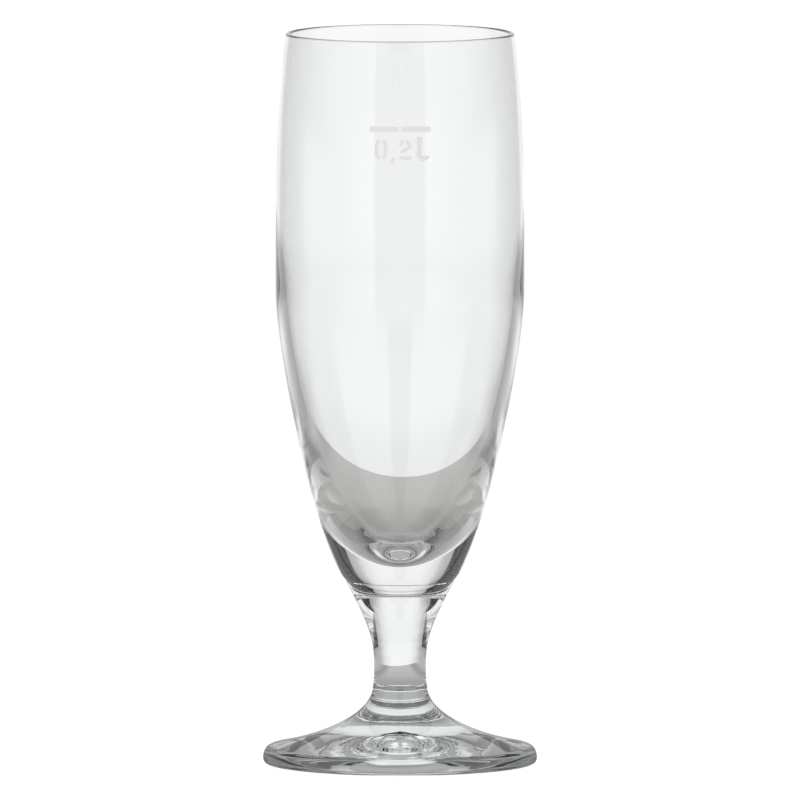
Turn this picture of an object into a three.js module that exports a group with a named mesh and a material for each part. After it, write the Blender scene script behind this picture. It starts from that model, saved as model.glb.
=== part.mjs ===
// A stemmed tulip beer glass for 0.2 l, in millimetres.
// +Z is up, the Z axis is the centre line, and the foot stands on z = 0.
// Bowl, stem and foot are three solids of clear glass that meet at flat fused faces.
// The fill line and the capacity under it are thin enamel on the front of the bowl, which faces -Y.
import * as THREE from 'three';

// Heights of the three glass pieces, stacked up from the table
const FOOT_HEIGHT = 17.9;
const STEM_HEIGHT = 26.6;
const BOWL_HEIGHT = 133.5;

// Diameters, from the table up to the rim
const FOOT_DIAMETER = 66.6;
const NECK_DIAMETER = 13.4;
const WAIST_DIAMETER = 12.6;
const BASE_DIAMETER = 26.4;
const BELLY_DIAMETER = 60.5;
const RIM_DIAMETER = 55.7;

// Foot: the round edge, the sweep up to the neck, and the hollow underneath
const EDGE_MIDDLE = 1.3; // height of the widest ring
const EDGE_TOP = 4.2; // height where the round edge runs into the sweep
const EDGE_ROUND = 1.7; // how far the round edge reaches in on top
const HEEL_ROUND = 1.1; // how far the round edge reaches in underneath
const SWEEP_RUN = 12.5; // length of the sweep's flat pull, in from the edge
const SWEEP_RISE = 2.4; // rise over that pull
const NECK_DROP = 6.2; // length of the sweep's steep pull, down from the neck
const NECK_SPREAD = 1.2; // spread over that pull
const RESTING_RING_WIDTH = 3.5; // flat ring that touches the table
const PUNT_HEIGHT = 2.9; // depth of the hollow at the centre
const PUNT_CROWN = 7.3; // level pull at the centre of the hollow
const PUNT_BRIM = 12.2; // level pull where the hollow meets the ring

// Stem: a short waist that flares up to the bowl
const WAIST_RISE = 5.1; // height of the waist above the foot
const NECK_EASE = 2.0; // height over which the neck draws in to the waist
const WAIST_RUN = 5.7; // straight pull upward from the waist
const FLARE_DROP = 12.2; // pull downward from the stem's top
const FLARE_SPREAD = 6.7; // how far that pull draws in

// Bowl, outside: from the fused base out to the belly and in again to the rim
const BASE_PULL = 6.6; // height of the pull at the base
const BASE_SPREAD = 6.85; // spread over that pull
const BELLY_RISE = 70.8; // height of the widest ring above the stem
const BELLY_PULL_DOWN = 15.1;
const BELLY_PULL_UP = 21.9;
const RIM_PULL = 21.2; // height of the pull below the rim
const RIM_LEAN = 2.45; // how far the wall leans in over that pull

// Bowl, inside: a thin wall that thickens downward into a heavy base
const RIM_WALL = 1.2;
const RIM_ROUND = 0.6; // height of the fire-polished lip
const BODY_WALL = 1.3; // wall where it begins to thicken
const BODY_WALL_RISE = 91.6; // height above the stem where it begins to thicken
const BASE_THICKNESS = 6.0; // solid glass between the stem and the cavity
const CAVITY_PULL = 36.5; // length of the cavity wall's pull, down along the wall
const CAVITY_FLOOR_RUN = 17.5; // level pull at the centre of the cavity's floor

// Shallow groove around the two fused seams
const SEAM_DEPTH = 0.2;
const SEAM_HEIGHT = 0.2;

// Gauge mark: a broken line at 0.2 l, with stencilled characters under it
const FILL_LINE_DROP = 21.1; // from the rim down to the middle of the line
const FILL_LINE_LENGTH = 6.95; // each half
const FILL_LINE_WIDTH = 1.3;
const FILL_LINE_GAP = 0.75; // between the halves
const NUMERAL_DROP = 2.4; // from the middle of the line down to the numerals
const NUMERAL_HEIGHT = 5.0;
const NUMERAL_WIDTH = 3.0;
const NUMERAL_STROKE = 0.85;
const STENCIL_GAP = 0.55; // bridge between the islands of one numeral
const ZERO_OFFSET = -4.6; // middle of the zero, across from the middle of the mark
const COMMA_OFFSET = -1.9;
const COMMA_LENGTH = 1.4;
const COMMA_SLANT = 0.55;
const TWO_OFFSET = 1.3;
const TWO_BOW_END = Math.PI / 6; // turn below level where the bow runs into the diagonal
const LITRE_OFFSET = 4.7;
const LITRE_STROKE = 1.1;
const LITRE_RISE = 0.55; // how far the litre sign stands above the numerals
const LITRE_DROP = 0.3; // how far it reaches below them
const LITRE_HOOK = 1.0; // radius of its foot
const LITRE_HOOK_END = Math.PI / 12; // turn below level where the foot ends
const ENAMEL_THICKNESS = 0.15;
const ENAMEL_CLEARANCE = 0.08;

// Fineness of the round and curved faces
const LATHE_SEGMENTS = 48;
const LONG_CURVE_STEPS = 12;
const SHORT_CURVE_STEPS = 6;
const HEEL_STEPS = 3;
const PROFILE_SAMPLES = 200;
const STROKE_STEPS = 6;
const QUARTER_ROUND = 0.55; // pull that makes a cubic curve a quarter of an ellipse
const SAME_POINT = 1e-6; // points closer than this are one point

const footRadius = FOOT_DIAMETER / 2;
const neckRadius = NECK_DIAMETER / 2;
const waistRadius = WAIST_DIAMETER / 2;
const baseRadius = BASE_DIAMETER / 2;
const bellyRadius = BELLY_DIAMETER / 2;
const rimRadius = RIM_DIAMETER / 2;

// Clear glass in one of its tints; the thick solid pieces look a little greyer than the thin bowl.
function clearGlass(tint) {
  return new THREE.MeshStandardMaterial({
    color: tint,
    roughness: 0.04,
    metalness: 0,
    transparent: true,
    opacity: 0.35,
  });
}

const bowlGlass = clearGlass(0xf1f2f2);
const stemGlass = clearGlass(0xe9eced);
const footGlass = clearGlass(0xdfe4e5);
const greyEnamel = new THREE.MeshStandardMaterial({ color: 0xe2e2e1, roughness: 0.6, metalness: 0 });

// A point of a turned outline: its radius, and its height in the piece.
function at(radius, height) {
  return new THREE.Vector2(radius, height);
}

// A smooth stretch of outline between two points, drawn towards two pulls.
function sweep(from, fromPull, toPull, to, steps) {
  return new THREE.CubicBezierCurve(from, fromPull, toPull, to).getPoints(steps);
}

// Stretches set end to end, each without its first point where the one before ends there.
function chain(...stretches) {
  const outline = [];
  for (const stretch of stretches) {
    for (const point of stretch) {
      const last = outline.at(-1);
      if (!last || last.distanceTo(point) > SAME_POINT) outline.push(point);
    }
  }
  return outline;
}

// A solid turned about the Z axis from an outline that starts and ends on the axis.
function turned(name, outline, material) {
  const geometry = new THREE.LatheGeometry(outline, LATHE_SEGMENTS);
  geometry.rotateX(Math.PI / 2);
  const mesh = new THREE.Mesh(geometry, material);
  mesh.name = name;
  return mesh;
}

// The pressed foot: hollow underside, resting ring, round edge, and the sweep up to the neck.
function makeFoot() {
  const ringOuter = footRadius - HEEL_ROUND;
  const ringInner = ringOuter - RESTING_RING_WIDTH;
  const edgeInner = footRadius - EDGE_ROUND;
  const sweepSlope = SWEEP_RISE / SWEEP_RUN;
  const punt = sweep(
    at(0, PUNT_HEIGHT),
    at(PUNT_CROWN, PUNT_HEIGHT),
    at(ringInner - PUNT_BRIM, 0),
    at(ringInner, 0),
    SHORT_CURVE_STEPS,
  );
  const heel = sweep(
    at(ringOuter, 0),
    at(ringOuter + HEEL_ROUND * QUARTER_ROUND, 0),
    at(footRadius, EDGE_MIDDLE * (1 - QUARTER_ROUND)),
    at(footRadius, EDGE_MIDDLE),
    HEEL_STEPS,
  );
  const edge = sweep(
    at(footRadius, EDGE_MIDDLE),
    at(footRadius, EDGE_MIDDLE + (EDGE_TOP - EDGE_MIDDLE) * QUARTER_ROUND),
    at(edgeInner + EDGE_ROUND * QUARTER_ROUND, EDGE_TOP - sweepSlope * EDGE_ROUND * QUARTER_ROUND),
    at(edgeInner, EDGE_TOP),
    SHORT_CURVE_STEPS,
  );
  const flank = sweep(
    at(edgeInner, EDGE_TOP),
    at(edgeInner - SWEEP_RUN, EDGE_TOP + SWEEP_RISE),
    at(neckRadius + NECK_SPREAD, FOOT_HEIGHT - SEAM_HEIGHT - NECK_DROP),
    at(neckRadius, FOOT_HEIGHT - SEAM_HEIGHT),
    LONG_CURVE_STEPS,
  );
  const seat = [at(neckRadius - SEAM_DEPTH, FOOT_HEIGHT), at(0, FOOT_HEIGHT)];
  return turned('foot', chain(punt, heel, edge, flank, seat), footGlass);
}

// The solid stem: it stands on the foot, draws in to the waist and flares out to the bowl's base.
function makeStem() {
  const seat = [at(0, 0), at(neckRadius - SEAM_DEPTH, 0)];
  const neck = new THREE.QuadraticBezierCurve(
    at(neckRadius, SEAM_HEIGHT),
    at(waistRadius, NECK_EASE),
    at(waistRadius, WAIST_RISE),
  ).getPoints(SHORT_CURVE_STEPS);
  const flare = sweep(
    at(waistRadius, WAIST_RISE),
    at(waistRadius, WAIST_RISE + WAIST_RUN),
    at(baseRadius - FLARE_SPREAD, STEM_HEIGHT - SEAM_HEIGHT - FLARE_DROP),
    at(baseRadius, STEM_HEIGHT - SEAM_HEIGHT),
    LONG_CURVE_STEPS,
  );
  const top = [at(baseRadius - SEAM_DEPTH, STEM_HEIGHT), at(0, STEM_HEIGHT)];
  return turned('stem', chain(seat, neck, flare, top), stemGlass);
}

// The bowl's outside, from the seam at its base to the foot of the lip.
function bowlOutside(steps) {
  const lipFoot = BOWL_HEIGHT - RIM_ROUND;
  const lower = sweep(
    at(baseRadius, SEAM_HEIGHT),
    at(baseRadius + BASE_SPREAD, SEAM_HEIGHT + BASE_PULL),
    at(bellyRadius, BELLY_RISE - BELLY_PULL_DOWN),
    at(bellyRadius, BELLY_RISE),
    steps,
  );
  const upper = sweep(
    at(bellyRadius, BELLY_RISE),
    at(bellyRadius, BELLY_RISE + BELLY_PULL_UP),
    at(rimRadius + RIM_LEAN, lipFoot - RIM_PULL),
    at(rimRadius, lipFoot),
    steps,
  );
  return chain(lower, upper);
}

// The bowl's outer radius at a height, read from a fine copy of its outside.
const fineOutside = bowlOutside(PROFILE_SAMPLES);
function bowlRadiusAt(height) {
  const above = fineOutside.findIndex((point) => point.y >= height);
  const upper = fineOutside.at(above < 0 ? -1 : Math.max(above, 1));
  const lower = fineOutside.at(above < 0 ? -2 : Math.max(above, 1) - 1);
  const share = (height - lower.y) / (upper.y - lower.y);
  return lower.x + share * (upper.x - lower.x);
}

// The bowl: a thin blown wall over a heavy base, open at the rim.
function makeBowl() {
  const lipFoot = BOWL_HEIGHT - RIM_ROUND;
  const lipMiddle = rimRadius - RIM_WALL / 2;
  const lip = [];
  for (let step = 1; step < SHORT_CURVE_STEPS; step += 1) {
    const turn = (Math.PI * step) / SHORT_CURVE_STEPS;
    lip.push(at(lipMiddle + (RIM_WALL / 2) * Math.cos(turn), lipFoot + RIM_ROUND * Math.sin(turn)));
  }
  const thinWall = [];
  for (let step = 0; step <= SHORT_CURVE_STEPS; step += 1) {
    const share = step / SHORT_CURVE_STEPS;
    const height = lipFoot + share * (BODY_WALL_RISE - lipFoot);
    const wall = RIM_WALL + share * (BODY_WALL - RIM_WALL);
    thinWall.push(at(bowlRadiusAt(height) - wall, height));
  }
  const wallTop = thinWall.at(-1);
  const wallTopAbove = thinWall.at(-2);
  const wallSlope = (wallTopAbove.x - wallTop.x) / (wallTopAbove.y - wallTop.y);
  const cavity = sweep(
    wallTop,
    at(wallTop.x - wallSlope * CAVITY_PULL, wallTop.y - CAVITY_PULL),
    at(CAVITY_FLOOR_RUN, BASE_THICKNESS),
    at(0, BASE_THICKNESS),
    LONG_CURVE_STEPS,
  );
  const seat = [at(0, 0), at(baseRadius - SEAM_DEPTH, 0)];
  return turned('bowl', chain(seat, bowlOutside(LONG_CURVE_STEPS), lip, thinWall, cavity), bowlGlass);
}

// Lays a flat mark on the bowl: X runs round it, Y stays upright and Z stands out from the glass.
const markHeight = BOWL_HEIGHT - FILL_LINE_DROP;
const markRadius = bowlRadiusAt(markHeight);
function laidOnBowl(name, geometry) {
  const position = geometry.getAttribute('position');
  for (let index = 0; index < position.count; index += 1) {
    const turn = position.getX(index) / markRadius;
    const rise = position.getY(index);
    const radius = bowlRadiusAt(markHeight + rise) + ENAMEL_CLEARANCE + position.getZ(index);
    position.setXYZ(index, radius * Math.sin(turn), -radius * Math.cos(turn), rise);
  }
  geometry.computeVertexNormals();
  const mesh = new THREE.Mesh(geometry, greyEnamel);
  mesh.name = name;
  return mesh;
}

// One half of the fill line, in short steps so that it bends round the bowl.
function makeFillLine(name, side) {
  const geometry = new THREE.BoxGeometry(
    FILL_LINE_LENGTH,
    FILL_LINE_WIDTH,
    ENAMEL_THICKNESS,
    STROKE_STEPS,
    1,
    1,
  );
  const middle = side * (FILL_LINE_GAP + FILL_LINE_LENGTH) / 2;
  geometry.translate(middle, 0, ENAMEL_THICKNESS / 2);
  return laidOnBowl(name, geometry);
}

// One island of a stencilled character: a stroke of even width along a centre line.
function makeStroke(name, offset, width, centreLine) {
  const points = chain(centreLine.getPoints(STROKE_STEPS));
  const left = [];
  const right = [];
  points.forEach((point, index) => {
    const before = points[Math.max(index - 1, 0)];
    const after = points[Math.min(index + 1, points.length - 1)];
    const along = after.clone().sub(before).normalize();
    const aside = new THREE.Vector2(-along.y, along.x).multiplyScalar(width / 2);
    left.push(point.clone().add(aside));
    right.unshift(point.clone().sub(aside));
  });
  const shape = new THREE.Shape([...left, ...right]);
  const geometry = new THREE.ExtrudeGeometry(shape, { depth: ENAMEL_THICKNESS, bevelEnabled: false });
  geometry.translate(offset, 0, 0);
  return laidOnBowl(name, geometry);
}

// Centre lines of the characters, with X across and Y measured from the fill line
const strokeTop = -NUMERAL_DROP - NUMERAL_STROKE / 2;
const strokeBottom = -NUMERAL_DROP - NUMERAL_HEIGHT + NUMERAL_STROKE / 2;
const bowRadius = (NUMERAL_WIDTH - NUMERAL_STROKE) / 2;
const bridgeTurn = STENCIL_GAP / 2 / bowRadius; // half a bridge, as a turn round the bow

// Half of the zero, from the bridge at the top round to the bridge at the bottom.
function zeroHalf(side) {
  const line = new THREE.Path();
  const sideTurn = side < 0 ? Math.PI : 0;
  const clockwise = side > 0;
  line.absarc(0, strokeTop - bowRadius, bowRadius, Math.PI / 2 - side * bridgeTurn, sideTurn, clockwise);
  line.absarc(0, strokeBottom + bowRadius, bowRadius, sideTurn, -Math.PI / 2 + side * bridgeTurn, clockwise);
  return line;
}

// The short arc at the upper left of the two.
function twoHook() {
  const line = new THREE.Path();
  line.absarc(0, strokeTop - bowRadius, bowRadius, Math.PI, Math.PI / 2 + bridgeTurn, true);
  return line;
}

// The bow of the two and the diagonal down to the bridge above its base.
function twoStroke() {
  const line = new THREE.Path();
  line.absarc(0, strokeTop - bowRadius, bowRadius, Math.PI / 2 - bridgeTurn, -TWO_BOW_END, true);
  line.lineTo(-bowRadius, strokeBottom + NUMERAL_STROKE + STENCIL_GAP);
  return line;
}

// The level base of the two.
function twoBase() {
  const line = new THREE.Path();
  line.moveTo(-NUMERAL_WIDTH / 2, strokeBottom);
  line.lineTo(NUMERAL_WIDTH / 2, strokeBottom);
  return line;
}

// The decimal comma, a short slanted stroke that starts on the numerals' base line.
function comma() {
  const line = new THREE.Path();
  line.moveTo(COMMA_SLANT / 2, strokeBottom);
  line.lineTo(-COMMA_SLANT / 2, strokeBottom - COMMA_LENGTH);
  return line;
}

// The litre sign, an upright that hooks to the right at its foot.
function litreSign() {
  const hookMiddle = LITRE_HOOK + LITRE_STROKE / 2 - NUMERAL_DROP - NUMERAL_HEIGHT - LITRE_DROP;
  const line = new THREE.Path();
  line.moveTo(0, LITRE_RISE - NUMERAL_DROP);
  line.lineTo(0, hookMiddle);
  line.absarc(LITRE_HOOK, hookMiddle, LITRE_HOOK, Math.PI, -LITRE_HOOK_END, false);
  return line;
}

const foot = makeFoot();
const stem = makeStem();
stem.position.z = FOOT_HEIGHT;

const gaugeMark = new THREE.Group();
gaugeMark.position.z = markHeight;
gaugeMark.add(
  makeFillLine('fill_line_left', -1),
  makeFillLine('fill_line_right', 1),
  makeStroke('zero_left', ZERO_OFFSET, NUMERAL_STROKE, zeroHalf(-1)),
  makeStroke('zero_right', ZERO_OFFSET, NUMERAL_STROKE, zeroHalf(1)),
  makeStroke('decimal_comma', COMMA_OFFSET, NUMERAL_STROKE, comma()),
  makeStroke('two_hook', TWO_OFFSET, NUMERAL_STROKE, twoHook()),
  makeStroke('two_stroke', TWO_OFFSET, NUMERAL_STROKE, twoStroke()),
  makeStroke('two_base', TWO_OFFSET, NUMERAL_STROKE, twoBase()),
  makeStroke('litre_sign', LITRE_OFFSET, LITRE_STROKE, litreSign()),
);

const bowlGroup = new THREE.Group();
bowlGroup.position.z = FOOT_HEIGHT + STEM_HEIGHT;
bowlGroup.add(makeBowl(), gaugeMark);

const glass = new THREE.Group();
glass.add(foot, stem, bowlGroup);

export default glass;
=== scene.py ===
import math

import bpy
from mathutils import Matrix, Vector


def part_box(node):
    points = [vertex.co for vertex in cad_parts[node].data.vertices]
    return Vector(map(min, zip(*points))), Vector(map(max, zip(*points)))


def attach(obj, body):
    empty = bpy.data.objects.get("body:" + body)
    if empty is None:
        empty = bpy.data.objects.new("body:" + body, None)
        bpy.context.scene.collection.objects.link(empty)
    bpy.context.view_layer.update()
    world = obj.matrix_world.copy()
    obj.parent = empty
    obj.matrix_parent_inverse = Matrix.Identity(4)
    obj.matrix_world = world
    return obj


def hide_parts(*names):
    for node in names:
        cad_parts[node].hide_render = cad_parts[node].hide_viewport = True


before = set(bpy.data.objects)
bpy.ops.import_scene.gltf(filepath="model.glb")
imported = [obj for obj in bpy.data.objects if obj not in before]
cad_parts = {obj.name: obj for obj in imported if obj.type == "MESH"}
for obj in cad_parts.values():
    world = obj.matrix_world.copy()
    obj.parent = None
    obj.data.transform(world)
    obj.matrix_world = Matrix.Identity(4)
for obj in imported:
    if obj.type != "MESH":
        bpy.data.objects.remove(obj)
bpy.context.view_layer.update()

scene = bpy.context.scene
scene.view_settings.view_transform = "Standard"

# The foot is a pressed disc of clear glass that sweeps up to a short neck.
# It stands on a narrow ring around a shallow hollow, and the end of its neck
# is fused to the stem while both are hot.
MM = 0.001
_, foot_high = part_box("foot")
foot_radius = foot_high.x
foot_top = foot_high.z
NECK_RADIUS = 6.7 * MM
EDGE_MIDDLE = 1.3 * MM
EDGE_TOP = 4.2 * MM
EDGE_ROUND = 1.7 * MM
HEEL_ROUND = 1.1 * MM
SWEEP_RUN = 12.5 * MM
SWEEP_RISE = 2.4 * MM
NECK_DROP = 6.2 * MM
NECK_SPREAD = 1.2 * MM
RESTING_RING_WIDTH = 3.5 * MM
PUNT_HEIGHT = 2.9 * MM
PUNT_CROWN = 7.3 * MM
PUNT_BRIM = 12.2 * MM
SEAM_DEPTH = 0.2 * MM
SEAM_HEIGHT = 0.2 * MM
QUARTER_ROUND = 0.55
OUTLINE_STEPS = 36
TURN_STEPS = 288
CREASE_ANGLE = math.radians(40)
SAME_PLACE = 0.00001 * MM


def turned_piece(name, stretches):
    """Draws half an outline as a curve, one stretch after another, and spins it round the centre line.

    A stretch is its two ends, or its two ends with the two pulls that bend it between them.
    Each of them is a radius and a height.
    """
    bpy.ops.object.select_all(action="DESELECT")
    bpy.ops.curve.primitive_bezier_curve_add()
    drawing = bpy.context.object
    points = drawing.data.splines[0].bezier_points
    points.add(len(stretches) + 1 - len(points))
    for point in points:
        point.handle_left_type = "FREE"
        point.handle_right_type = "FREE"
    for stretch, start, end in zip(stretches, points[:-1], points[1:]):
        places = [(radius, 0, height) for radius, height in stretch]
        start.co = places[0]
        end.co = places[-1]
        if len(places) == 2:
            start.handle_right_type = "VECTOR"
            end.handle_left_type = "VECTOR"
        else:
            start.handle_right = places[1]
            end.handle_left = places[2]
    drawing.data.resolution_u = OUTLINE_STEPS
    bpy.ops.object.convert(target="MESH")
    piece = bpy.context.object
    piece.name = name
    piece.data.name = name
    bpy.ops.object.mode_set(mode="EDIT")
    bpy.ops.mesh.select_all(action="SELECT")
    bpy.ops.mesh.spin(steps=TURN_STEPS, angle=math.tau, center=(0, 0, 0), axis=(0, 0, 1))
    bpy.ops.mesh.select_all(action="SELECT")
    bpy.ops.mesh.remove_doubles(threshold=SAME_PLACE)
    bpy.ops.mesh.normals_make_consistent(inside=False)
    bpy.ops.object.mode_set(mode="OBJECT")
    bpy.ops.object.shade_smooth_by_angle(angle=CREASE_ANGLE)
    return piece


ring_outer = foot_radius - HEEL_ROUND
ring_inner = ring_outer - RESTING_RING_WIDTH
edge_inner = foot_radius - EDGE_ROUND
sweep_slope = SWEEP_RISE / SWEEP_RUN
edge_lift = (EDGE_TOP - EDGE_MIDDLE) * QUARTER_ROUND
edge_reach = EDGE_ROUND * QUARTER_ROUND
foot_seam = foot_top - SEAM_HEIGHT
foot = turned_piece("foot_glass", [
    [
        (0, PUNT_HEIGHT),
        (PUNT_CROWN, PUNT_HEIGHT),
        (ring_inner - PUNT_BRIM, 0),
        (ring_inner, 0),
    ],
    [(ring_inner, 0), (ring_outer, 0)],
    [
        (ring_outer, 0),
        (ring_outer + HEEL_ROUND * QUARTER_ROUND, 0),
        (foot_radius, EDGE_MIDDLE * (1 - QUARTER_ROUND)),
        (foot_radius, EDGE_MIDDLE),
    ],
    [
        (foot_radius, EDGE_MIDDLE),
        (foot_radius, EDGE_MIDDLE + edge_lift),
        (edge_inner + edge_reach, EDGE_TOP - sweep_slope * edge_reach),
        (edge_inner, EDGE_TOP),
    ],
    [
        (edge_inner, EDGE_TOP),
        (edge_inner - SWEEP_RUN, EDGE_TOP + SWEEP_RISE),
        (NECK_RADIUS + NECK_SPREAD, foot_seam - NECK_DROP),
        (NECK_RADIUS, foot_seam),
    ],
    [(NECK_RADIUS, foot_seam), (NECK_RADIUS - SEAM_DEPTH, foot_top)],
    [(NECK_RADIUS - SEAM_DEPTH, foot_top), (0, foot_top)],
])

RIPPLE_TURN = 8 * MM
RIPPLE_DETAIL = 1
CALM_SHARE = 0.2
HAZE_DETAIL = 5
HAZE_SWIRL = 0.6
HAZE_START = 0.45
HAZE_FULL = 0.75


def feed(tree, node, values):
    """Sets a node's inputs to values in turn, or links one where its value is another node's output."""
    for value, socket in zip(values, node.inputs):
        if isinstance(value, bpy.types.NodeSocket):
            tree.links.new(value, socket)
        else:
            socket.default_value = value


def math_node(tree, operation, *values):
    """What a maths node makes of its values."""
    node = tree.nodes.new("ShaderNodeMath")
    node.operation = operation
    feed(tree, node, values)
    return node.outputs["Value"]


def vector_node(tree, operation, *values):
    """What a vector maths node makes of its values."""
    node = tree.nodes.new("ShaderNodeVectorMath")
    node.operation = operation
    feed(tree, node, values)
    return node.outputs["Value"] if operation == "LENGTH" else node.outputs["Vector"]


def glass_skin():
    """The surface of glass turned in the flame: ripples that run round it, a faint haze and a tint."""
    group = bpy.data.node_groups.new("glass_skin", "ShaderNodeTree")
    sockets = group.interface
    for name in ["Ripple Scale", "Ripple Rise", "Ripple Top", "Haze Scale", "Haze"]:
        sockets.new_socket(name, in_out="INPUT", socket_type="NodeSocketFloat")
    for name in ["Clear Tint", "Deep Tint"]:
        sockets.new_socket(name, in_out="INPUT", socket_type="NodeSocketColor")
    sockets.new_socket("Tint", in_out="OUTPUT", socket_type="NodeSocketColor")
    for name in ["Roughness", "Height"]:
        sockets.new_socket(name, in_out="OUTPUT", socket_type="NodeSocketFloat")
    nodes = group.nodes
    link = group.links.new
    given = nodes.new("NodeGroupInput").outputs
    result = nodes.new("NodeGroupOutput").inputs
    place = nodes.new("ShaderNodeTexCoord").outputs["Object"]
    axes = nodes.new("ShaderNodeSeparateXYZ")
    link(place, axes.inputs["Vector"])
    rise = axes.outputs["Z"]
    outward = vector_node(group, "MULTIPLY", place, (1, 1, 0))
    radius = vector_node(group, "LENGTH", outward)
    heading = vector_node(group, "NORMALIZE", outward)
    around = vector_node(group, "MULTIPLY", heading, (RIPPLE_TURN, RIPPLE_TURN, RIPPLE_TURN))
    upward = nodes.new("ShaderNodeCombineXYZ")
    link(math_node(group, "MULTIPLY_ADD", rise, given["Ripple Rise"], radius), upward.inputs["Z"])
    ripple = nodes.new("ShaderNodeTexNoise")
    ripple.inputs["Detail"].default_value = RIPPLE_DETAIL
    link(vector_node(group, "ADD", around, upward.outputs["Vector"]), ripple.inputs["Vector"])
    link(given["Ripple Scale"], ripple.inputs["Scale"])
    calm = math_node(group, "GREATER_THAN", rise, given["Ripple Top"])
    share = math_node(group, "MULTIPLY_ADD", calm, CALM_SHARE - 1, 1)
    link(math_node(group, "MULTIPLY", ripple.outputs["Fac"], share), result["Height"])
    smear = nodes.new("ShaderNodeTexNoise")
    smear.inputs["Detail"].default_value = HAZE_DETAIL
    smear.inputs["Distortion"].default_value = HAZE_SWIRL
    link(place, smear.inputs["Vector"])
    link(given["Haze Scale"], smear.inputs["Scale"])
    haze = nodes.new("ShaderNodeMapRange")
    haze.inputs["From Min"].default_value = HAZE_START
    haze.inputs["From Max"].default_value = HAZE_FULL
    link(smear.outputs["Fac"], haze.inputs["Value"])
    link(given["Haze"], haze.inputs["To Max"])
    link(haze.outputs["Result"], result["Roughness"])
    tint = nodes.new("ShaderNodeMix")
    tint.data_type = "RGBA"
    link(ripple.outputs["Fac"], tint.inputs["Factor"])
    link(given["Clear Tint"], tint.inputs["A"])
    link(given["Deep Tint"], tint.inputs["B"])
    link(tint.outputs["Result"], result["Tint"])
    return group


GLASS_IOR = 1.52
SHADOW_OF_GLASS = (0.86, 0.87, 0.87, 1)
skin_of_glass = glass_skin()


def clear_glass(name, ripple_depth, skin_values):
    """Clear glass with a skin of its own, which lets most of the light through to its shadow."""
    material = bpy.data.materials.new(name)
    material.use_nodes = True
    nodes = material.node_tree.nodes
    link = material.node_tree.links.new
    skin = nodes.new("ShaderNodeGroup")
    skin.node_tree = skin_of_glass
    for socket, value in skin_values.items():
        skin.inputs[socket].default_value = value
    bump = nodes.new("ShaderNodeBump")
    bump.inputs["Distance"].default_value = ripple_depth
    link(skin.outputs["Height"], bump.inputs["Height"])
    glass = nodes["Principled BSDF"]
    glass.inputs["IOR"].default_value = GLASS_IOR
    glass.inputs["Transmission Weight"].default_value = 1
    link(skin.outputs["Tint"], glass.inputs["Base Color"])
    link(skin.outputs["Roughness"], glass.inputs["Roughness"])
    link(bump.outputs["Normal"], glass.inputs["Normal"])
    through = nodes.new("ShaderNodeBsdfTransparent")
    through.inputs["Color"].default_value = SHADOW_OF_GLASS
    path = nodes.new("ShaderNodeLightPath")
    blend = nodes.new("ShaderNodeMixShader")
    link(path.outputs["Is Shadow Ray"], blend.inputs["Fac"])
    link(glass.outputs["BSDF"], blend.inputs[1])
    link(through.outputs["BSDF"], blend.inputs[2])
    link(blend.outputs["Shader"], nodes["Material Output"].inputs["Surface"])
    return material


def fused_joint():
    """Where two pieces were fused the glass runs on, so the faces that meet there can't be seen."""
    material = bpy.data.materials.new("fused_joint")
    material.use_nodes = True
    nodes = material.node_tree.nodes
    nodes.remove(nodes["Principled BSDF"])
    through = nodes.new("ShaderNodeBsdfTransparent")
    material.node_tree.links.new(through.outputs["BSDF"], nodes["Material Output"].inputs["Surface"])
    return material


joint_of_glass = fused_joint()


def finish_glass(piece, material, joints):
    """Gives a turned piece its glass, and the flat faces at the heights of its joints the fused finish."""
    piece.data.materials.append(material)
    piece.data.materials.append(joint_of_glass)
    vertices = piece.data.vertices
    for face in piece.data.polygons:
        heights = [vertices[corner].co.z for corner in face.vertices]
        if any(all(abs(height - joint) < SAME_PLACE for height in heights) for joint in joints):
            face.material_index = 1


foot_glass = clear_glass("foot_glass", ripple_depth=0.1 * MM, skin_values={
    "Clear Tint": (0.86, 0.885, 0.895, 1),
    "Deep Tint": (0.81, 0.845, 0.855, 1),
    "Ripple Scale": 200,
    "Ripple Rise": -1,
    "Ripple Top": (PUNT_HEIGHT + EDGE_TOP) / 2,
    "Haze Scale": 60,
    "Haze": 0.05,
})
finish_glass(foot, foot_glass, joints=[foot_top])
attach(foot, "root")
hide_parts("foot")

# The stem is a short solid rod of clear glass, drawn in to a waist just above
# the foot and flared out to the bowl. Both its ends are fused faces, and a
# shallow groove is left around each of them.
_, stem_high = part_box("stem")
stem_top = stem_high.z
base_radius = stem_high.x
WAIST_RADIUS = 6.3 * MM
WAIST_RISE = 5.1 * MM
NECK_EASE = 2.0 * MM
WAIST_RUN = 5.7 * MM
FLARE_DROP = 12.2 * MM
FLARE_SPREAD = 6.7 * MM
EASE_SHARE = 2 / 3

neck_start = (NECK_RADIUS, foot_top + SEAM_HEIGHT)
neck_corner = (WAIST_RADIUS, foot_top + NECK_EASE)
waist = (WAIST_RADIUS, foot_top + WAIST_RISE)
stem_seam = stem_top - SEAM_HEIGHT


def towards(start, corner):
    """The pull that draws a stretch from its start to a corner as a plain arc."""
    return tuple(a + EASE_SHARE * (b - a) for a, b in zip(start, corner))


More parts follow.
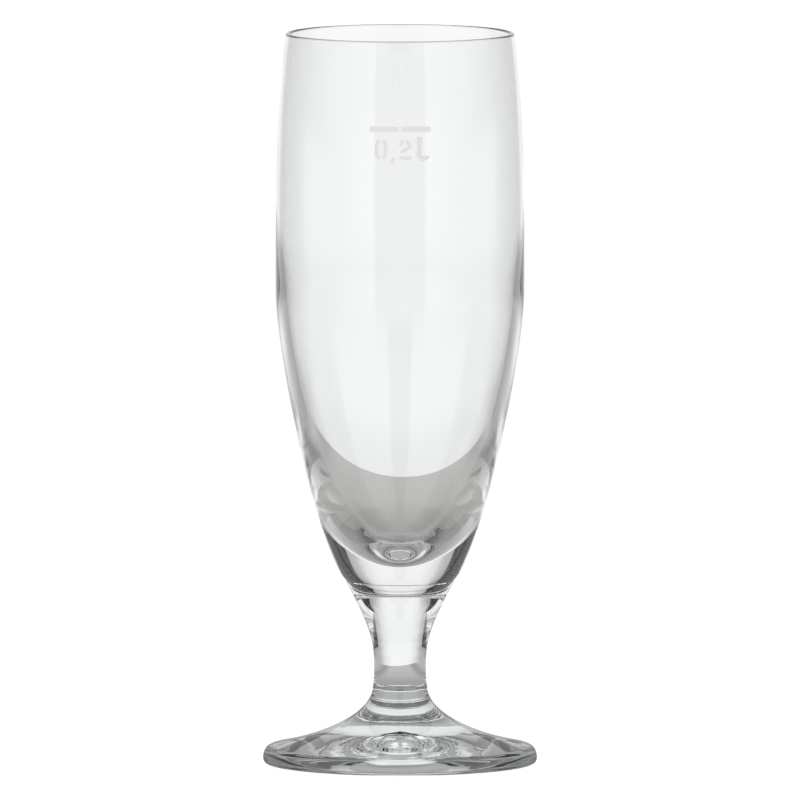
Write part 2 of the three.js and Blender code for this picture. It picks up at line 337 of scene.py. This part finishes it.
stem = turned_piece("stem_glass", [
    [(0, foot_top), (NECK_RADIUS - SEAM_DEPTH, foot_top)],
    [(NECK_RADIUS - SEAM_DEPTH, foot_top), neck_start],
    [neck_start, towards(neck_start, neck_corner), towards(waist, neck_corner), waist],
    [
        waist,
        (WAIST_RADIUS, waist[1] + WAIST_RUN),
        (base_radius - FLARE_SPREAD, stem_seam - FLARE_DROP),
        (base_radius, stem_seam),
    ],
    [(base_radius, stem_seam), (base_radius - SEAM_DEPTH, stem_top)],
    [(base_radius - SEAM_DEPTH, stem_top), (0, stem_top)],
])
stem_glass = clear_glass("stem_glass", ripple_depth=0.02 * MM, skin_values={
    "Clear Tint": (0.97, 0.98, 0.98, 1),
    "Deep Tint": (0.95, 0.965, 0.97, 1),
    "Ripple Scale": 70,
    "Ripple Rise": 1,
    "Ripple Top": stem_top,
    "Haze Scale": 70,
    "Haze": 0.03,
})
finish_glass(stem, stem_glass, joints=[foot_top, stem_top])
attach(stem, "root")
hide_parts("stem")

# The bowl is blown clear glass: a thin wall that thickens downward into a
# heavy solid base, fused to the stem. Its lip is rounded in the flame.
_, bowl_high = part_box("bowl")
belly_radius = bowl_high.x
rim_top = bowl_high.z
RIM_RADIUS = 27.85 * MM
BASE_PULL = 6.6 * MM
BASE_SPREAD = 6.85 * MM
BELLY_RISE = 70.8 * MM
BELLY_PULL_DOWN = 15.1 * MM
BELLY_PULL_UP = 21.9 * MM
RIM_PULL = 21.2 * MM
RIM_LEAN = 2.45 * MM
RIM_WALL = 1.2 * MM
RIM_ROUND = 0.6 * MM
BODY_WALL = 1.3 * MM
BODY_WALL_RISE = 91.6 * MM
BASE_THICKNESS = 6.0 * MM
CAVITY_PULL = 36.5 * MM
CAVITY_FLOOR_RUN = 17.5 * MM
HALVINGS = 40

bowl_seam = stem_top + SEAM_HEIGHT
belly_height = stem_top + BELLY_RISE
lip_foot = rim_top - RIM_ROUND
wall_height = stem_top + BODY_WALL_RISE
floor_height = stem_top + BASE_THICKNESS
upper_outside = [
    (belly_radius, belly_height),
    (belly_radius, belly_height + BELLY_PULL_UP),
    (RIM_RADIUS + RIM_LEAN, lip_foot - RIM_PULL),
    (RIM_RADIUS, lip_foot),
]


def upper_share(stretch, height):
    """The part of a rising stretch that lies above a height, as a stretch of its own."""
    low, high = 0.0, 1.0
    for _ in range(HALVINGS):
        share = (low + high) / 2
        rows = [[Vector(place) for place in stretch]]
        while len(rows[-1]) > 1:
            rows.append([a.lerp(b, share) for a, b in zip(rows[-1], rows[-1][1:])])
        if rows[-1][0].y < height:
            low = share
        else:
            high = share
    return [row[-1] for row in reversed(rows)]


def set_in(place, wall):
    """A place on the outside, moved in by the thickness of the wall."""
    return (place[0] - wall, place[1])


above_wall = upper_share(upper_outside, wall_height)
wall_top = set_in(above_wall[0], BODY_WALL)
wall_pull = set_in(above_wall[1], BODY_WALL)
wall_slope = (wall_pull[0] - wall_top[0]) / (wall_pull[1] - wall_top[1])
lip_middle = RIM_RADIUS - RIM_WALL / 2
lip_pull = RIM_WALL / 2 * QUARTER_ROUND
lip_inner = RIM_RADIUS - RIM_WALL
bowl = turned_piece("bowl_glass", [
    [(0, stem_top), (base_radius - SEAM_DEPTH, stem_top)],
    [(base_radius - SEAM_DEPTH, stem_top), (base_radius, bowl_seam)],
    [
        (base_radius, bowl_seam),
        (base_radius + BASE_SPREAD, bowl_seam + BASE_PULL),
        (belly_radius, belly_height - BELLY_PULL_DOWN),
        (belly_radius, belly_height),
    ],
    upper_outside,
    [
        (RIM_RADIUS, lip_foot),
        (RIM_RADIUS, lip_foot + RIM_ROUND * QUARTER_ROUND),
        (lip_middle + lip_pull, rim_top),
        (lip_middle, rim_top),
    ],
    [
        (lip_middle, rim_top),
        (lip_middle - lip_pull, rim_top),
        (lip_inner, lip_foot + RIM_ROUND * QUARTER_ROUND),
        (lip_inner, lip_foot),
    ],
    [(lip_inner, lip_foot), set_in(above_wall[2], RIM_WALL), wall_pull, wall_top],
    [
        wall_top,
        (wall_top[0] - wall_slope * CAVITY_PULL, wall_top[1] - CAVITY_PULL),
        (CAVITY_FLOOR_RUN, floor_height),
        (0, floor_height),
    ],
])
bowl_glass = clear_glass("bowl_glass", ripple_depth=0.05 * MM, skin_values={
    "Clear Tint": (0.955, 0.96, 0.96, 1),
    "Deep Tint": (0.945, 0.95, 0.95, 1),
    "Ripple Scale": 45,
    "Ripple Rise": 1,
    "Ripple Top": rim_top,
    "Haze Scale": 35,
    "Haze": 0.02,
})
finish_glass(bowl, bowl_glass, joints=[stem_top])
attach(bowl, "root")
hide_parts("bowl")

# The gauge mark is a thin coat of pale grey enamel, printed through a stencil
# on the front of the bowl and fired: a broken line at the fill level, and the
# capacity in stencilled characters under it.
line_left_low, line_left_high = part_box("fill_line_left")
line_right_low, line_right_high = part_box("fill_line_right")
line_height = (line_left_low.z + line_left_high.z) / 2
line_width = line_left_high.z - line_left_low.z
NUMERAL_DROP = 2.4 * MM
NUMERAL_HEIGHT = 5.0 * MM
NUMERAL_WIDTH = 3.0 * MM
NUMERAL_STROKE = 0.85 * MM
STENCIL_GAP = 0.55 * MM
ZERO_OFFSET = -4.6 * MM
COMMA_OFFSET = -1.9 * MM
COMMA_LENGTH = 1.4 * MM
COMMA_SLANT = 0.55 * MM
TWO_OFFSET = 1.3 * MM
TWO_BOW_END = math.radians(-30)
LITRE_OFFSET = 4.7 * MM
LITRE_STROKE = 1.1 * MM
LITRE_RISE = 0.55 * MM
LITRE_DROP = 0.3 * MM
LITRE_HOOK = 1.0 * MM
LITRE_HOOK_END = math.radians(-15)
ENAMEL_COAT = 0.05 * MM
ENAMEL_GAP = 0.01 * MM
THIN_ENAMEL = (0.62, 0.62, 0.615, 1)
FULL_ENAMEL = (0.73, 0.73, 0.725, 1)
THIN_ROUGHNESS = 0.5
FULL_ROUGHNESS = 0.75
GRAIN_SCALE = 2600
GRAIN_DETAIL = 4
GRAIN_DEPTH = ENAMEL_COAT / 4
GRAIN_STRENGTH = 0.5
ARC_STEPS = 24
STROKE_CUTS = 6

stroke_top = line_height - NUMERAL_DROP - NUMERAL_STROKE / 2
stroke_bottom = line_height - NUMERAL_DROP - NUMERAL_HEIGHT + NUMERAL_STROKE / 2
bow_radius = (NUMERAL_WIDTH - NUMERAL_STROKE) / 2
bow_top = stroke_top - bow_radius
bow_bottom = stroke_bottom + bow_radius
bridge_turn = STENCIL_GAP / 2 / bow_radius
litre_top = line_height - NUMERAL_DROP + LITRE_RISE
hook_middle = line_height - NUMERAL_DROP - NUMERAL_HEIGHT - LITRE_DROP + LITRE_STROKE / 2 + LITRE_HOOK
quarter_turn = math.pi / 2
stencil_place = (0, -2 * belly_radius, 0)


def arc(across, height, radius, start, end):
    """Places along an arc, from one turn to another."""
    turns = [start + (end - start) * step / ARC_STEPS for step in range(ARC_STEPS + 1)]
    return [(across + radius * math.cos(turn), height + radius * math.sin(turn)) for turn in turns]


def enamel():
    """Fired enamel: pale grey, a little uneven where the stencil let less of it through."""
    material = bpy.data.materials.new("gauge_enamel")
    material.use_nodes = True
    nodes = material.node_tree.nodes
    link = material.node_tree.links.new
    coat = nodes["Principled BSDF"]
    place = nodes.new("ShaderNodeTexCoord")
    grain = nodes.new("ShaderNodeTexNoise")
    grain.inputs["Scale"].default_value = GRAIN_SCALE
    grain.inputs["Detail"].default_value = GRAIN_DETAIL
    link(place.outputs["Object"], grain.inputs["Vector"])
    shade = nodes.new("ShaderNodeMix")
    shade.data_type = "RGBA"
    shade.inputs["A"].default_value = THIN_ENAMEL
    shade.inputs["B"].default_value = FULL_ENAMEL
    link(grain.outputs["Fac"], shade.inputs["Factor"])
    link(shade.outputs["Result"], coat.inputs["Base Color"])
    dull = nodes.new("ShaderNodeMapRange")
    dull.inputs["To Min"].default_value = THIN_ROUGHNESS
    dull.inputs["To Max"].default_value = FULL_ROUGHNESS
    link(grain.outputs["Fac"], dull.inputs["Value"])
    link(dull.outputs["Result"], coat.inputs["Roughness"])
    bump = nodes.new("ShaderNodeBump")
    bump.inputs["Distance"].default_value = GRAIN_DEPTH
    bump.inputs["Strength"].default_value = GRAIN_STRENGTH
    link(grain.outputs["Fac"], bump.inputs["Height"])
    link(bump.outputs["Normal"], coat.inputs["Normal"])
    return material


enamel_coat = enamel()


def flat_line(places):
    """A flat curve that runs straight from place to place."""
    bpy.ops.object.select_all(action="DESELECT")
    bpy.ops.curve.primitive_bezier_curve_add()
    line = bpy.context.object
    line.data.dimensions = "2D"
    line.data.splines.clear()
    points = line.data.splines.new("POLY").points
    points.add(len(places) - 1)
    for point, (across, height) in zip(points, places):
        point.co = (across, height, 0, 1)
    return line


def print_stroke(node, width, centre_line):
    """Prints one island of the mark: a flat ribbon along its centre line, laid on the bowl and thickened."""
    nib = flat_line([(-width / 2, 0), (width / 2, 0)])
    stroke = flat_line(centre_line)
    stroke.data.fill_mode = "NONE"
    stroke.data.bevel_mode = "OBJECT"
    stroke.data.bevel_object = nib
    bpy.ops.object.convert(target="MESH")
    bpy.data.objects.remove(nib)
    piece = bpy.context.object
    piece.name = node + "_enamel"
    piece.data.name = piece.name
    piece.rotation_euler = (quarter_turn, 0, 0)
    piece.location = stencil_place
    bpy.ops.object.transform_apply(location=True, rotation=True, scale=False)
    bpy.ops.object.mode_set(mode="EDIT")
    bpy.ops.mesh.select_all(action="SELECT")
    bpy.ops.mesh.subdivide(number_cuts=STROKE_CUTS)
    bpy.ops.object.mode_set(mode="OBJECT")
    lay = piece.modifiers.new("lay", "SHRINKWRAP")
    lay.target = bowl
    lay.wrap_method = "PROJECT"
    lay.wrap_mode = "ABOVE_SURFACE"
    lay.use_project_y = True
    lay.use_negative_direction = False
    lay.use_positive_direction = True
    lay.offset = ENAMEL_GAP
    bpy.ops.object.modifier_apply(modifier="lay")
    coat = piece.modifiers.new("coat", "SOLIDIFY")
    coat.thickness = ENAMEL_COAT
    coat.offset = 1
    bpy.ops.object.modifier_apply(modifier="coat")
    bpy.ops.object.shade_smooth_by_angle(angle=CREASE_ANGLE)
    piece.data.materials.append(enamel_coat)
    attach(piece, "root")
    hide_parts(node)


print_stroke("fill_line_left", line_width, [
    (line_left_low.x, line_height),
    (line_left_high.x, line_height),
])
print_stroke("fill_line_right", line_width, [
    (line_right_low.x, line_height),
    (line_right_high.x, line_height),
])
print_stroke("zero_left", NUMERAL_STROKE, [
    *arc(ZERO_OFFSET, bow_top, bow_radius, quarter_turn + bridge_turn, math.pi),
    *arc(ZERO_OFFSET, bow_bottom, bow_radius, math.pi, 3 * quarter_turn - bridge_turn),
])
print_stroke("zero_right", NUMERAL_STROKE, [
    *arc(ZERO_OFFSET, bow_top, bow_radius, quarter_turn - bridge_turn, 0),
    *arc(ZERO_OFFSET, bow_bottom, bow_radius, 0, bridge_turn - quarter_turn),
])
print_stroke("decimal_comma", NUMERAL_STROKE, [
    (COMMA_OFFSET + COMMA_SLANT / 2, stroke_bottom),
    (COMMA_OFFSET - COMMA_SLANT / 2, stroke_bottom - COMMA_LENGTH),
])
print_stroke("two_hook", NUMERAL_STROKE, arc(
    TWO_OFFSET, bow_top, bow_radius, math.pi, quarter_turn + bridge_turn
))
print_stroke("two_stroke", NUMERAL_STROKE, [
    *arc(TWO_OFFSET, bow_top, bow_radius, quarter_turn - bridge_turn, TWO_BOW_END),
    (TWO_OFFSET - bow_radius, stroke_bottom + NUMERAL_STROKE + STENCIL_GAP),
])
print_stroke("two_base", NUMERAL_STROKE, [
    (TWO_OFFSET - NUMERAL_WIDTH / 2, stroke_bottom),
    (TWO_OFFSET + NUMERAL_WIDTH / 2, stroke_bottom),
])
print_stroke("litre_sign", LITRE_STROKE, [
    (LITRE_OFFSET, litre_top),
    *arc(LITRE_OFFSET + LITRE_HOOK, hook_middle, LITRE_HOOK, math.pi, math.tau + LITRE_HOOK_END),
])

# The floor of the studio is a wide pale sheet, and the camera sees it white,
# with the soft shadow of the glass.
FLOOR_SIDE = 8.0
FLOOR_DROP = 0.1 * MM
FLOOR_GLOW = 0.8
FLOOR_DYE = (0.3, 0.3, 0.3, 1)
bpy.ops.object.select_all(action="DESELECT")
bpy.ops.mesh.primitive_plane_add(size=FLOOR_SIDE, location=(0, 0, -FLOOR_DROP))
studio_floor = bpy.context.object
studio_floor.name = "studio_floor"
studio_floor.visible_diffuse = False
studio_floor.visible_glossy = False
studio_floor.visible_transmission = False
floor_sheet = bpy.data.materials.new("studio_floor")
floor_sheet.use_nodes = True
nodes = floor_sheet.node_tree.nodes
link = floor_sheet.node_tree.links.new
nodes.remove(nodes["Principled BSDF"])
glow = nodes.new("ShaderNodeEmission")
glow.inputs["Strength"].default_value = FLOOR_GLOW
sheet = nodes.new("ShaderNodeBsdfDiffuse")
sheet.inputs["Color"].default_value = FLOOR_DYE
white = nodes.new("ShaderNodeAddShader")
link(glow.outputs["Emission"], white.inputs[0])
link(sheet.outputs["BSDF"], white.inputs[1])
link(white.outputs["Shader"], nodes["Material Output"].inputs["Surface"])
studio_floor.data.materials.append(floor_sheet)

# The glass stands on a grey board, which shows in the glass alone. Its glow
# holds painted shade: a painted shadow close around the foot, and painted light
# under its middle, where light through the glass would fall. It is also darker
# at its sides. It fades out there and in front, and ends in a straight edge
# behind the glass.
BOARD_WIDTH = 0.8
BOARD_BACK = 0.265
BOARD_FRONT = -0.14
BOARD_TURN = math.radians(-9)
BOARD_DROP = 2 * FLOOR_DROP
BOARD_DYE = (1.0, 0.985, 0.96, 1)
BOARD_REACH = 0.25

# The tones run along the reach from under the middle of the glass, in metres:
# painted light under the middle, a painted shadow ring under the edge of the
# foot, then paler further out.
BOARD_SHADOW_AND_LIGHT_TONES = [
    (0, 0.5), (0.019, 0.5), (0.026, 0.16), (0.031, 0.15), (0.05, 0.33), (0.08, 0.37), (0.12, 0.44),
    (0.15, 0.5), (0.25, 0.54),
]
SIDE_TONE = 0.33
SIDE_START = (0.05, 0.11)
SIDE_END = (0.11, 0.2)
FRONT_REACH = (0.07, 0.13)
FRONT_TURN = (62, 90)


def rising(tree, value, start, end):
    """Nothing before a start, one after an end, and soft between them."""
    node = tree.nodes.new("ShaderNodeMapRange")
    node.interpolation_type = "SMOOTHSTEP"
    node.inputs["From Min"].default_value = start
    node.inputs["From Max"].default_value = end
    tree.links.new(value, node.inputs["Value"])
    return node.outputs["Result"]


def tone_ramp(tree, value, limit, tones):
    """A ramp of tones along a value that runs from nothing to a limit."""
    ramp = tree.nodes.new("ShaderNodeValToRGB")
    stops = ramp.color_ramp.elements
    while len(stops) < len(tones):
        stops.new(1)
    for stop, (place_on_ramp, tone) in zip(stops, tones):
        stop.position = place_on_ramp / limit
        stop.color = (tone, tone, tone, 1)
    tree.links.new(math_node(tree, "DIVIDE", value, limit), ramp.inputs["Fac"])
    return ramp.outputs["Color"]


def blended(tree, share, before, after):
    """A tone that goes from one to another as a share rises."""
    return math_node(tree, "MULTIPLY_ADD", share, math_node(tree, "SUBTRACT", after, before), before)


def turn_aside(tree, axes):
    """The turn away from straight behind the glass, to either side, in degrees."""
    turn = math_node(tree, "ARCTAN2", axes.outputs["X"], axes.outputs["Y"])
    return math_node(tree, "DEGREES", math_node(tree, "ABSOLUTE", turn))


board_sheet = bpy.data.materials.new("studio_board")
board_sheet.use_nodes = True
tree = board_sheet.node_tree
nodes = tree.nodes
link = tree.links.new
nodes.remove(nodes["Principled BSDF"])
place = nodes.new("ShaderNodeTexCoord")
reach = vector_node(tree, "LENGTH", place.outputs["Object"])
axes = nodes.new("ShaderNodeSeparateXYZ")
link(place.outputs["Object"], axes.inputs["Vector"])
aside = math_node(tree, "ABSOLUTE", axes.outputs["X"])
# The ramp paints a shadow ring around the foot, and light under its middle, into the board's glow.
painted_shadow_and_light = tone_ramp(tree, reach, BOARD_REACH, BOARD_SHADOW_AND_LIGHT_TONES)
board_glow = nodes.new("ShaderNodeEmission")
board_glow.inputs["Color"].default_value = BOARD_DYE
link(blended(tree, rising(tree, aside, *SIDE_START), painted_shadow_and_light, SIDE_TONE), board_glow.inputs["Strength"])
past_side = rising(tree, aside, *SIDE_END)
in_front = rising(tree, turn_aside(tree, axes), *FRONT_TURN)
past_front = math_node(tree, "MULTIPLY", rising(tree, reach, *FRONT_REACH), in_front)
bare = nodes.new("ShaderNodeBsdfTransparent")
fade = nodes.new("ShaderNodeMixShader")
link(math_node(tree, "MAXIMUM", past_side, past_front), fade.inputs["Fac"])
link(board_glow.outputs["Emission"], fade.inputs[1])
link(bare.outputs["BSDF"], fade.inputs[2])
link(fade.outputs["Shader"], nodes["Material Output"].inputs["Surface"])
bpy.ops.mesh.primitive_plane_add(size=1, location=(0, (BOARD_BACK + BOARD_FRONT) / 2, 0))
board = bpy.context.object
board.scale = (BOARD_WIDTH, BOARD_BACK - BOARD_FRONT, 1)
bpy.ops.object.transform_apply(location=True, rotation=False, scale=True)
board.rotation_euler = (0, 0, BOARD_TURN)
bpy.ops.object.transform_apply(location=False, rotation=True, scale=False)
board.name = "studio_board"
board.location = (0, 0, -BOARD_DROP)
board.visible_camera = False
board.data.materials.append(board_sheet)

# A low grey screen stands round the glass. It glows and shows as a reflection
# alone: a painted reflection that draws the outline of the foot.
SCREEN_RADIUS = 0.07
SCREEN_HEIGHT = 0.03
PAINTED_REFLECTION_TONE = 0.35
SCREEN_SIDES = 96
bpy.ops.mesh.primitive_cylinder_add(
    vertices=SCREEN_SIDES,
    radius=SCREEN_RADIUS,
    depth=SCREEN_HEIGHT,
    end_fill_type="NOTHING",
    location=(0, 0, SCREEN_HEIGHT / 2),
)
screen = bpy.context.object
screen.name = "painted_reflection_screen"
screen.visible_camera = False
screen.visible_diffuse = False
screen.visible_transmission = False
screen.visible_shadow = False
screen_sheet = bpy.data.materials.new("painted_reflection_screen")
screen_sheet.use_nodes = True
nodes = screen_sheet.node_tree.nodes
nodes.remove(nodes["Principled BSDF"])
painted_reflection_glow = nodes.new("ShaderNodeEmission")
painted_reflection_glow.inputs["Strength"].default_value = PAINTED_REFLECTION_TONE
screen_sheet.node_tree.links.new(painted_reflection_glow.outputs["Emission"], nodes["Material Output"].inputs["Surface"])
screen.data.materials.append(screen_sheet)

# The room around the glass: pale cloth lies and hangs low all round, greyer at
# the sides, the white backdrop and two soft lights in front of the glass stand
# higher with dark between them, and the ceiling is grey.
CEILING_TONE = 0.55

# Each band below the ceiling has the height of its top and its tones along the turn aside, in degrees.
HIGH_TOP = 62
HIGH_TONES = [(0, 0.02), (98, 0.03), (101, 1.0), (150, 1.2), (166, 1.2), (168, 0.15)]
LIGHTS_TOP = 49
LIGHTS_TONES = [
    (0, 0.96), (14, 0.96), (20, 0.9), (27, 0.77), (33, 0.58), (41, 0.45), (43, 0.02), (98, 0.03),
    (101, 1.0), (150, 1.2), (166, 1.2), (168, 0.15),
]
WALL_TOP = 8
WALL_TONES = [
    (0, 1.0), (14, 1.0), (20, 0.92), (27, 0.78), (33, 0.58), (42, 0.42), (90, 0.35), (115, 0.8),
    (154, 1.25), (157, 0.72),
]
GROUND_TOP = -1
GROUND_TONES = [
    (0, 1.0), (12, 0.98), (20, 0.88), (27, 0.75), (33, 0.57), (42, 0.45), (68, 0.45), (80, 0.9),
    (115, 0.9), (154, 1.25), (157, 0.72),
]
NEAR_TOP = -10
NEAR_TONES = [
    (0, 0.94), (10, 0.93), (16, 0.78), (20, 0.62), (24, 0.54), (30, 0.46), (42, 0.4), (68, 0.42),
    (80, 0.9), (115, 0.93), (154, 0.95), (157, 0.72),
]
HALF_TURN = 180
FLOOR_TOP = -22
FLOOR_TONES = [(0, 0.93), (HALF_TURN, 0.93)]
SOFT_EDGE = 1
NEAR_EDGE = 2
FLOOR_EDGE = 3
world = bpy.data.worlds.new("studio")
scene.world = world
world.use_nodes = True
tree = world.node_tree
nodes = tree.nodes
place = nodes.new("ShaderNodeTexCoord")
axes = nodes.new("ShaderNodeSeparateXYZ")
tree.links.new(place.outputs["Generated"], axes.inputs["Vector"])
turn = turn_aside(tree, axes)
rise = math_node(tree, "DEGREES", math_node(tree, "ARCSINE", axes.outputs["Z"]))
seen = CEILING_TONE
for top, edge, tones in [
    (HIGH_TOP, SOFT_EDGE, HIGH_TONES),
    (LIGHTS_TOP, SOFT_EDGE, LIGHTS_TONES),
    (WALL_TOP, SOFT_EDGE, WALL_TONES),
    (GROUND_TOP, SOFT_EDGE, GROUND_TONES),
    (NEAR_TOP, NEAR_EDGE, NEAR_TONES),
    (FLOOR_TOP, FLOOR_EDGE, FLOOR_TONES),
]:
    above = rising(tree, rise, top - edge, top + edge)
    seen = blended(tree, above, tone_ramp(tree, turn, HALF_TURN, tones), seen)
path = nodes.new("ShaderNodeLightPath")
white_to_camera = math_node(tree, "MAXIMUM", seen, path.outputs["Is Camera Ray"])
tree.links.new(white_to_camera, nodes["Background"].inputs["Strength"])
nodes["Background"].inputs["Color"].default_value = (1, 1, 1, 1)

# A wide soft lamp over the camera lights the mark and lays the shadow. It
# doesn't show in the glass itself.
LAMP_STRENGTH = 1.3
LAMP_SPREAD = math.radians(35)
LAMP_TILT = math.radians(35)
LAMP_SIDE = math.radians(-8)
bpy.ops.object.light_add(type="SUN", rotation=(LAMP_TILT, 0, LAMP_SIDE))
lamp = bpy.context.object
lamp.data.energy = LAMP_STRENGTH
lamp.data.angle = LAMP_SPREAD
lamp.visible_glossy = False
lamp.visible_transmission = False

# The camera stands far off and a little above, as one with a long lens does.
# Its square picture is a little higher than the glass.
CAMERA_REACH = 8.0
CAMERA_RISE = math.radians(5.15)
AIM_HEIGHT = 88.5 * MM
PICTURE_SIDE = 194.4 * MM
SENSOR_WIDTH = 36.0
VIEW_END = 3 * CAMERA_REACH
aim = Vector((0, 0, AIM_HEIGHT))
away = Vector((0, -math.cos(CAMERA_RISE), math.sin(CAMERA_RISE)))
bpy.ops.object.camera_add(location=aim + away * CAMERA_REACH)
camera = bpy.context.object
camera.rotation_euler = (-away).to_track_quat("-Z", "Y").to_euler()
camera.data.sensor_width = SENSOR_WIDTH
camera.data.lens = SENSOR_WIDTH * CAMERA_REACH / PICTURE_SIDE
camera.data.clip_end = VIEW_END
scene.camera = camera

# Light goes through many faces of clear glass before it leaves it, so its way
# is followed further than usual.
GLASS_BOUNCES = 32
scene.cycles.max_bounces = GLASS_BOUNCES
scene.cycles.transmission_bounces = GLASS_BOUNCES
scene.cycles.glossy_bounces = GLASS_BOUNCES
scene.cycles.transparent_max_bounces = GLASS_BOUNCES
